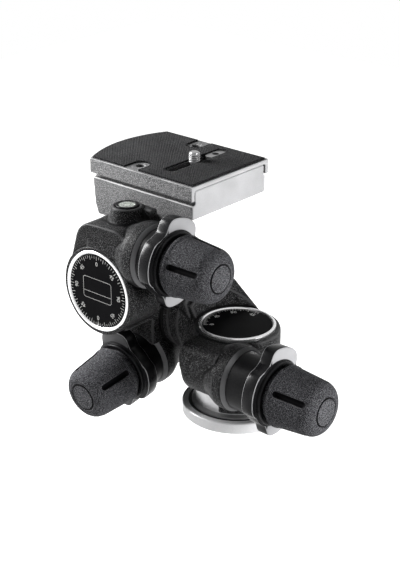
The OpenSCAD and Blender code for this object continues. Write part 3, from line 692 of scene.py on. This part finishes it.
def dress_lever(drive, steps=240):
    """A release lever: lobed disc with soft rim edges, and the raised collar round its bore."""
    rim = lever_radii(drive, steps)
    front = KNOB_S[drive] - LEVER_GAP
    back = front - LEVER_THICK
    soft, collar, well, bore = 0.55, 17.2, 14.9, 9.15
    nick = soft * 0.3
    collar_top, well_floor = front + 2.4, front - 0.6
    face_end = (collar + 1.1, front)
    rows = [(bore, back), ("rim", -soft, back), ("rim", -nick, back + nick),
            ("rim", 0, back + soft), ("rim", 0, front - soft),
            ("rim", -nick, front - nick), ("rim", -soft, front),
            face_end, (collar + 0.8, front), (collar, front + 0.3), (collar, collar_top - 0.4),
            (collar - 0.4, collar_top), (well, collar_top), (well - 0.15, well_floor),
            (bore, well_floor)]
    verts, rub_and_shade, bare = [], [], []
    for rim_r, a in zip(rim, turn_angles(steps)):
        lobe = min(1.0, max(0.0, (rim_r - LOBE_R) / 0.5))
        for row in rows:
            r = rim_r + row[1] if row[0] == "rim" else row[0]
            verts.append((r * math.cos(a), r * math.sin(a), row[-1]))
            # the rim's nicks are rubbed edges, their brightness partly a painted highlight
            rub_and_shade.append(1.0 if row[:2] == ("rim", -nick) else 0.0)
            # the lobes' front faces take the lobe colour, painted shade on the lateral lever
            bare.append(lobe if row in (("rim", -soft, front), face_end) else 0.0)
    name = f"{drive}_release_lever"
    obj = piece(name + "_body", verts, ring_faces(steps, len(rows)), lever_black(drive),
                body_of(nodes[name])[0], matrix=DRIVES[drive])
    for word, values in (("rub_and_shade", rub_and_shade), ("bare", bare)):
        field = obj.data.attributes.new(word, "FLOAT", "POINT")
        field.data.foreach_set("value", values)
    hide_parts(name)


def dress_castings():
    """Each line gives a node's finish, the grid in millimetres that it is remeshed on, and the
    rounds of melting."""
    cast("pan_housing", black_paint("pan_enamel", ["pan"]), 0.55, 12,
         keep=near_mouths("pan"))
    cast("main_housing", black_paint("main_enamel", ["tilt", "roll"]), 0.62, 10,
         keep=near_mouths("tilt", "roll"))
    plain = black_paint("cover_enamel")
    cast("roll_rear_cover", plain, 0.5, 8)
    cast("receiver_bracket", plain, 0.5, 8)
    cast("receiver", RECEIVER_GREY, 0.5, 5)
    cast("camera_plate", PLATE_GREY, 0.45, 4)
    cast("clamp_jaw", RECEIVER_GREY, 0.4, 4)
    cast("lock_lever", PLASTIC, 0.4, 6)
    cast("safety_catch", STEEL, 0.35, 4)
    for drive in DRIVES:
        # the knob's grooves and the cap's rim get painted shade
        cast(f"{drive}_knob", KNOB_RUBBER, 0.36, 4, painted_shade=knob_grooves(drive))
        cast(f"{drive}_knob_cap", KNOB_CAP, 0.3, 3, painted_shade=cap_rim(drive))
        dress_lever(drive)


# ---- dials ----

def prism(outline, low, high):
    """Points and faces of a flat outline given a thickness."""
    n = len(outline)
    verts = [(x, y, low) for x, y in outline] + [(x, y, high) for x, y in outline]
    faces = [tuple(range(n))[::-1], tuple(range(n, 2 * n))]
    faces += [(i, (i + 1) % n, n + (i + 1) % n, n + i) for i in range(n)]
    return verts, faces


class Print:
    """Thin printed marks gathered into one mesh, in a dial's own plane."""

    def __init__(self, thick=0.03):
        self.verts, self.faces, self.thick = [], [], thick

    def add(self, verts, faces):
        start = len(self.verts)
        self.verts += [tuple(v) for v in verts]
        self.faces += [tuple(start + i for i in face) for face in faces]

    def bar(self, a, b, width):
        """A straight stroke from a to b."""
        a, b = Vector(a), Vector(b)
        side = (b - a).orthogonal().normalized() * width / 2
        self.add(*prism([a + side, a - side, b - side, b + side], 0, self.thick))

    def tick(self, degrees, inner, outer, width):
        way = Vector((math.cos(math.radians(degrees)), math.sin(math.radians(degrees))))
        self.bar(way * inner, way * outer, width)

    def circle(self, radius, width, first=0, last=360, steps=120):
        """A thin round line, whole or from one direction to another."""
        angles = [math.radians(first + (last - first) * i / steps) for i in range(steps + 1)]
        for a, b in zip(angles, angles[1:]):
            self.add(*prism([(r * math.cos(t), r * math.sin(t)) for r, t in (
                (radius - width / 2, a), (radius + width / 2, a),
                (radius + width / 2, b), (radius - width / 2, b))], 0, self.thick))

    def label(self, text, degrees, radius, size):
        """A number standing on a circle, its top outwards."""
        curve = bpy.data.curves.new("label", "FONT")
        curve.body = text
        curve.size = size
        curve.align_x, curve.align_y = "CENTER", "CENTER"
        curve.extrude = self.thick / 2
        curve.resolution_u = 3
        obj = bpy.data.objects.new("label", curve)
        bpy.context.collection.objects.link(obj)
        mesh = bpy.data.meshes.new_from_object(
            obj.evaluated_get(bpy.context.evaluated_depsgraph_get()))
        bpy.data.objects.remove(obj)
        bpy.data.curves.remove(curve)
        turn = Matrix.Rotation(math.radians(degrees - 90), 4, "Z")
        place = turn @ Matrix.Translation((0, radius, self.thick / 2))
        self.add([place @ v.co for v in mesh.vertices], [tuple(p.vertices) for p in mesh.polygons])
        bpy.data.meshes.remove(mesh)

    def make(self, name, body, matrix, ink=PRINT_WHITE):
        piece(name, self.verts, self.faces, ink, body, smooth=False,
              matrix=matrix)


def dial_plane(at, right, up):
    """A dial's own frame in metres: X right, Y up and Z out of its face."""
    right, up = Vector(right), Vector(up)
    out = right.cross(up)
    turn = Matrix((right, up, out)).transposed().to_4x4()
    return SCALE_MM @ Matrix.Translation(at) @ turn


def full_scale(disc_r):
    """Marks of a tilt dial: two quadrants up and two down, numbered 0, 45 and 90."""
    marks = Print()
    rim = disc_r - DIAL_EDGE
    number_size = 3.4
    for degrees in range(0, 360, 5):
        length, width = (2.4, 0.24) if degrees % 15 == 0 else (1.5, 0.2)
        marks.tick(degrees, rim - length, rim, width)
    for degrees, text in ((90, "0"), (45, "45"), (135, "45"), (0, "90"), (180, "90"),
                          (-45, "45"), (-135, "45"), (-90, "0")):
        marks.label(text, degrees, disc_r - NUMBER_IN, number_size)
    pointer = [(-0.7, -disc_r + 0.4), (0.7, -disc_r + 0.4), (0, -disc_r + 3.2)]
    marks.add(*prism(pointer, 0, marks.thick))
    return marks


def name_frame(marks, half_w, low, high, soft, line, divider):
    """A thin rounded frame with one cross line, left empty."""
    for x in (-half_w, half_w):
        marks.bar((x, low + soft), (x, high - soft), line)
    for y in (low, high):
        marks.bar((-half_w + soft, y), (half_w - soft, y), line)
    marks.bar((-half_w, divider), (half_w, divider), line)
    for x, y, first in ((half_w - soft, high - soft, 0), (-half_w + soft, high - soft, 90),
                        (-half_w + soft, low + soft, 180), (half_w - soft, low + soft, 270)):
        corner = Print(marks.thick)
        corner.circle(soft, line, first, first + 90, 8)
        marks.add([(px + x, py + y, pz) for px, py, pz in corner.verts], corner.faces)


def pan_scale():
    """Marks of the pan dial, over rather more than a third of its rim."""
    marks = Print()
    rim = pan_dial_r - DIAL_EDGE
    zero, spacing, count, number_size = 228, 2.5, 57, 3.6
    for i in range(count):
        degrees = i * spacing
        length, width = (2.5, 0.34) if degrees % 15 == 0 else (1.0, 0.24)
        if degrees % 15 and degrees % 5 == 0:
            length = 1.8
        marks.tick(zero - degrees, rim - length, rim, width)
    for degrees, text in ((0, "0"), (45, "45"), (90, "90"), (135, "45")):
        marks.label(text, zero - degrees, pan_dial_r - NUMBER_IN, number_size)
    return marks


def dress_dials():
    """Prints the marks of the three dials on their faces."""
    proud = 0.03
    tilt = full_scale(tilt_dial_r)
    name_frame(tilt, half_w=10.4, low=-5.4, high=6.8, soft=1.5, line=0.2, divider=-1.5)
    tilt.make("tilt_dial_marks", "receiver_unit", dial_plane(
        (tilt_dial_at.x, tilt_dial_front - proud, tilt_dial_at.z), ALONG_X, UP), PRINT_GREY)
    roll = full_scale(tilt_dial_r)
    roll.make("roll_dial_marks", body_of(nodes["roll_dial"])[0], dial_plane(
        (roll_dial_front - proud, roll_dial_at.y, roll_dial_at.z), (0, -1, 0), UP), PRINT_GREY)
    pan_scale().make("pan_dial_marks", body_of(nodes["pan_dial"])[0], dial_plane(
        (pan_dial_at.x, pan_dial_at.y, pan_dial_top), ALONG_X, ALONG_Y))


def dress_ring_seat():
    """A narrow black lip round the front dial's ring."""
    low, high = corners("tilt_bezel")
    ring_r = (high.x - low.x) / 2
    inner, outer, back, front, soft = ring_r - 0.7, ring_r + 1.9, -3.4, -0.35, 0.4
    verts, faces = revolve(ring_profile(inner, outer, back, front, soft), 128)
    piece("tilt_ring_seat", verts, faces, black_paint("seat_enamel"), "main_head",
          matrix=dial_plane((tilt_dial_at.x, low.y, tilt_dial_at.z), ALONG_X, UP))


# ---- pad, screw, threads, seal and level ----

def top_test(node):
    """A test for whether a place in millimetres has that node's top face under it."""
    mesh = nodes[node].data
    tree = BVHTree.FromPolygons([v.co for v in mesh.vertices],
                                [tuple(p.vertices) for p in mesh.polygons])
    top = corners(node)[1].z

    def hit(x, y):
        found = tree.ray_cast(Vector((x, y, top + 5)) * MM, -Vector(UP))[0]
        return found is not None and abs(found.z / MM - top) < 0.05
    return hit


def dress_pad():
    """Rows of small square studs over the whole pad, clear of its edge and openings."""
    hit = top_test("plate_pad")
    pitch, tall, clear, sunk = 1.3, 0.3, 0.7, 0.1
    first = 0.75    # of a pitch, from the pad's corner
    foot, shoulder, head = 0.46, 0.40, 0.27
    verts, faces = [], []
    top = pad_high.z
    for i in range(int((pad_high.x - pad_low.x) / pitch)):
        for j in range(int((pad_high.y - pad_low.y) / pitch)):
            x = pad_low.x + (i + first) * pitch
            y = pad_low.y + (j + first) * pitch
            around = [(x + dx, y + dy) for dx in (-clear, clear) for dy in (-clear, clear)]
            if not all(hit(*place) for place in around):
                continue
            start = len(verts)
            for half, z in ((foot, top - sunk), (shoulder, top + 0.12), (head, top + tall)):
                verts += [(x - half, y - half, z), (x + half, y - half, z),
                          (x + half, y + half, z), (x - half, y + half, z)]
            quads = [(3, 2, 1, 0), (8, 9, 10, 11)]
            for level in (0, 4):
                quads += [(level + k, level + (k + 1) % 4, level + 4 + (k + 1) % 4, level + 4 + k)
                          for k in range(4)]
            faces += [tuple(start + k for k in quad) for quad in quads]
    tips = finish("stud_rubber", (0.02, 0.02, 0.0205), (0.09, 0.09, 0.092), 0.6, 0.5, 0.01,
                  specular=0.02)
    piece("pad_studs", verts, faces, tips, "plate", smooth=False)


def threaded(rows, pitch, crest, root, steps):
    """Points and faces of a turned shape with rows of (radius, height). A row whose radius
    is None carries a thread, whose profile is cut off flat at its crest and root."""
    steep = 2.7
    verts, faces = [], []
    for radius, z in rows:
        for i, a in enumerate(turn_angles(steps)):
            r = radius
            if r is None:
                phase = (z / pitch - i / steps) % 1
                raised = min(1, max(0, steep / 2 - steep * abs(phase - 0.5)))
                r = root + (crest - root) * raised
            verts.append((r * math.cos(a), r * math.sin(a), z))
    for j in range(len(rows) - 1):
        faces += [(j * steps + i, j * steps + (i + 1) % steps,
                   (j + 1) * steps + (i + 1) % steps, (j + 1) * steps + i) for i in range(steps)]
    return verts, faces


def closed_ends(verts, faces, steps):
    """Adds a flat face over the first and the last row."""
    faces.append(tuple(range(steps))[::-1])
    faces.append(tuple(range(len(verts) - steps, len(verts))))
    return verts, faces


def lathed(rows, steps):
    """Points and faces of a closed turned shape without a thread."""
    return closed_ends(*threaded(rows, 1, 1, 1, steps), steps)


def dress_screw():
    """The camera screw: a round flat head, a neck and a quarter inch thread."""
    pitch, crest, root, steps = 1.27, 3.175, 2.5, 64
    head_r, head_tall, bevel = 6.0, 2.9, 0.3
    rows_per_turn = 12
    shoulder = screw_low.z + head_tall
    rows = [(head_r - bevel, screw_low.z), (head_r, screw_low.z + bevel),
            (head_r, shoulder - bevel), (head_r - bevel, shoulder),
            (crest, shoulder), (crest, shoulder + 1.6), (root, shoulder + 2.2),
            (root, pad_high.z - 0.2)]
    z = pad_high.z - 0.1
    while z < screw_high.z - 0.7:
        rows.append((None, z))
        z += pitch / rows_per_turn
    rows += [(root + 0.1, screw_high.z - 0.4), (root - 0.3, screw_high.z - 0.05),
             (root - 0.7, screw_high.z)]
    verts, faces = closed_ends(*threaded(rows, pitch, crest, root, steps), steps)
    metal = turned("screw_metal", (screw_at.x, screw_at.y, 0), UP, 0.34, 0.34)
    verts = [(x + screw_at.x, y + screw_at.y, z) for x, y, z in verts]
    screw = piece("camera_screw_thread", verts, faces, metal,
                  body_of(nodes["camera_screw"])[0])
    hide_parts("camera_screw")


def dress_socket():
    """The three-eighths inch thread inside the base's socket."""
    pitch, crest, root, wall, steps = 1.5875, 4.12, 4.72, 4.78, 64
    bottom, first, deep, rows_per_turn = 0.2, 0.5, 11, 10
    inside = [(None, first + i * pitch / rows_per_turn)
              for i in range(int(deep / pitch * rows_per_turn))]
    top = inside[-1][1] + 0.4
    verts, faces = threaded([(root, bottom)] + inside + [(root, top)], pitch, crest, root, steps)
    last = len(verts) - steps
    low, high = len(verts), len(verts) + steps
    for z in (bottom, top):
        verts += [(wall * math.cos(a), wall * math.sin(a), z) for a in turn_angles(steps)]
    for i in range(steps):
        j = (i + 1) % steps
        faces += [(i, j, low + j, low + i), (last + i, last + j, high + j, high + i),
                  (low + i, low + j, high + j, high + i)]
    piece("socket_thread", verts, faces, turned("socket_metal", (0, 0, 0), UP, 0.6, 0.35),
          "base")


def dress_base():
    """Black seal in the recess between the disc and the turning head."""
    outer = base_high.x - 3.5
    inner = outer - 1.75
    verts, faces = revolve(ring_profile(inner, outer, BASE_RIM - 1.1, BASE_RIM - 0.2), 128)
    piece("base_seal", verts, faces, SEAL, "base")


def bulge(radius, z, tall, degrees):
    """Rows of a rounded turned shape, at the given directions above its widest row."""
    return [(radius * math.cos(math.radians(a)), z + tall * math.sin(math.radians(a)))
            for a in degrees]


def dress_level():
    """Round bubble level: black ring, pale floor with a circle, clear domed top and bubble."""
    matrix = SCALE_MM @ Matrix.Translation((vial_at.x, vial_at.y, 0))
    body = body_of(nodes["level_vial"])[0]
    rim = vial_top - 0.6
    bottom, floor_top, glass_low = rim - 4, rim - 1.6, rim - 1.5
    axis_r, floor_r, lens_r, bubble_r = 0.01, 4.6, 4.65, 1.35
    ring_in, ring_out, circle_in, circle_out = 4.7, 6.24, 1.75, 2.05
    verts, faces = revolve(ring_profile(ring_in, ring_out, bottom, rim + 0.25, 0.25), 72)
    ring = piece("level_ring", verts, faces, PLASTIC, body, matrix=matrix)
    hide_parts("level_vial")
    floor = finish("level_floor", (0.16, 0.18, 0.15), (0.26, 0.28, 0.24), 0.5, 0.5, 0.01)
    verts, faces = lathed([(axis_r, bottom), (floor_r, bottom), (floor_r, floor_top),
                           (axis_r, floor_top)], 48)
    piece("level_floor", verts, faces, floor, body, matrix=matrix)
    verts, faces = revolve(ring_profile(circle_in, circle_out, rim - 1.62, glass_low, 0.03), 48)
    piece("level_circle", verts, faces, SEAL, body, matrix=matrix)
    verts, faces = lathed([(axis_r, glass_low), (floor_r, glass_low), (lens_r, rim - 0.1),
                           *bulge(lens_r, rim - 0.1, 0.65, range(10, 90, 10)),
                           (axis_r, vial_top - 0.05)], 48)
    piece("level_lens", verts, faces, glass("level_glass", (0.93, 0.97, 0.92), 0.04),
          body, matrix=matrix)
    verts, faces = lathed([(axis_r, rim - 1.1),
                           *bulge(bubble_r, rim - 0.75, 0.35, range(-75, 90, 15)),
                           (axis_r, rim - 0.4)], 32)
    piece("level_bubble", [(x + 0.4, y - 0.3, z) for x, y, z in verts], faces,
          finish("bubble_air", (0.42, 0.45, 0.40), (0.5, 0.53, 0.48), 0.2, 0.5, 0.002),
          body, matrix=matrix)


# ---- finishes of the CAD nodes that stay ----

def dress_nodes():
    """Gives every CAD node that still shows its finish and smooth curves, its sharp edges kept by
    angle.
    """
    tilt_axis = (tilt_dial_at.x, 0, tilt_dial_at.z)
    roll_axis = (0, roll_dial_at.y, roll_dial_at.z)
    base_metal = turned("base_metal", (0, 0, 0), UP, 0.6, 0.4, 0.15)
    finishes = {
        "base_disc": base_metal,
        "pan_spindle": turned("spindle_metal", (0, 0, 0), UP, 0.45, 0.32),
        "pan_bezel": turned("pan_ring_metal", (0, 0, 0), UP, 0.85, 0.22),
        "tilt_bezel": turned("tilt_ring_metal", tilt_axis, ALONG_Y, 0.85, 0.22),
        "roll_bezel": turned("roll_ring_metal", roll_axis, ALONG_X, 0.85, 0.22),
        "roll_spindle": turned("roll_spindle_metal", roll_axis, ALONG_X, 0.7, 0.3),
        "tilt_shaft": turned("tilt_shaft_metal", tilt_axis, ALONG_Y, 0.7, 0.3),
        "slot_fitting": turned("fitting_metal", (screw_at.x, 35, 0), UP, 0.25, 0.4),
        "pan_thrust_washer": PLASTIC, "screw_washer": PLASTIC, "plate_pad": PAD_RUBBER,
    }
    by_word = [("worm_sleeve", PLASTIC), ("worm_wheel", BRONZE), ("_worm", STEEL),
               ("_dial", DIAL_BLACK), ("_screws", DARK_SCREW), ("nut", STEEL)]
    for name, obj in nodes.items():
        material = finishes.get(name)
        for word, other in by_word:
            if material is None and word in name:
                material = other
        if obj.hide_render or material is None:
            continue
        for slot in obj.material_slots:
            slot.material = material
        if not obj.material_slots:
            obj.data.materials.append(material)
        obj.data.polygons.foreach_set("use_smooth", [True] * len(obj.data.polygons))
        obj.data.set_sharp_from_angle(angle=NODE_CREASE)


bpy.context.scene.view_settings.view_transform = "Standard"
look_through()
light_world()
light_studio()
lay_floor()
dress_castings()
dress_dials()
dress_ring_seat()
dress_pad()
dress_screw()
dress_socket()
dress_base()
dress_level()
dress_nodes()
